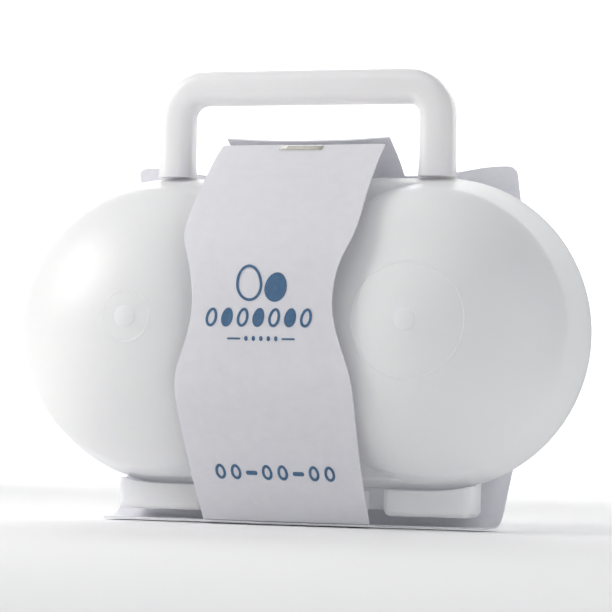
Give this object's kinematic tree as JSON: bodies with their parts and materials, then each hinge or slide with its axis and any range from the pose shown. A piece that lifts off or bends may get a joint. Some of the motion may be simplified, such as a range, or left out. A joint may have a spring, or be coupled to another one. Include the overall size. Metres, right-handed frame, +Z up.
{
  "type": "egg carrying case",
  "caption": "Frosted two-pocket egg carrying case with domed hinged half shells, a loop handle on top and a paper sleeve round its middle.",
  "frame": {"origin": "on the surface the case stands on, under the middle of the case, midway between the egg pockets and in the parting plane of the two shells", "axes": "+X to the right along the two egg pockets, +Y to the back, +Z up towards the handle; the front is -Y"},
  "size_m": [0.1332, 0.0584, 0.1026],
  "materials": {
    "frosted_plastic": "frosted translucent, satin",
    "handle_plastic": "milky translucent, satin",
    "pin_plastic": "satin",
    "sleeve_card": "uncoated white card with a slate blue print",
    "clear_tape": "clear adhesive tape"
  },
  "bodies": {
    "case": {"rear_shell": "frosted_plastic", "carry_handle": "handle_plastic", "hinge_pin": "pin_plastic", "sleeve_back_card": "sleeve_card"},
    "lid": {"front_shell": "frosted_plastic"},
    "latch": {"latch_tab": "frosted_plastic"},
    "sleeve_flap": {"sleeve_front_band": "sleeve_card", "seam_tape": "clear_tape"}
  },
  "joints": [
    {"name": "lid_hinge", "type": "hinge", "parent": "case", "child": "lid", "pos_m": [0, -0.0052, 0.0061], "axis": [1, 0, 0], "range_deg": [0, 45]},
    {"name": "latch_pivot", "type": "hinge", "parent": "lid", "child": "latch", "pos_m": [0, -0.0036, 0.0803], "axis": [1, 0, 0], "range_deg": [0, 99]},
    {"name": "sleeve_fold", "type": "hinge", "parent": "case", "child": "sleeve_flap", "pos_m": [0, -0.0085, 0.001], "axis": [1, 0, 0], "range_deg": [0, 54]}
  ],
  "couplings": [
    {"joint": "latch_pivot", "follows": "lid_hinge", "ratio": 2.2},
    {"joint": "sleeve_fold", "follows": "lid_hinge", "ratio": 1.2}
  ]
}
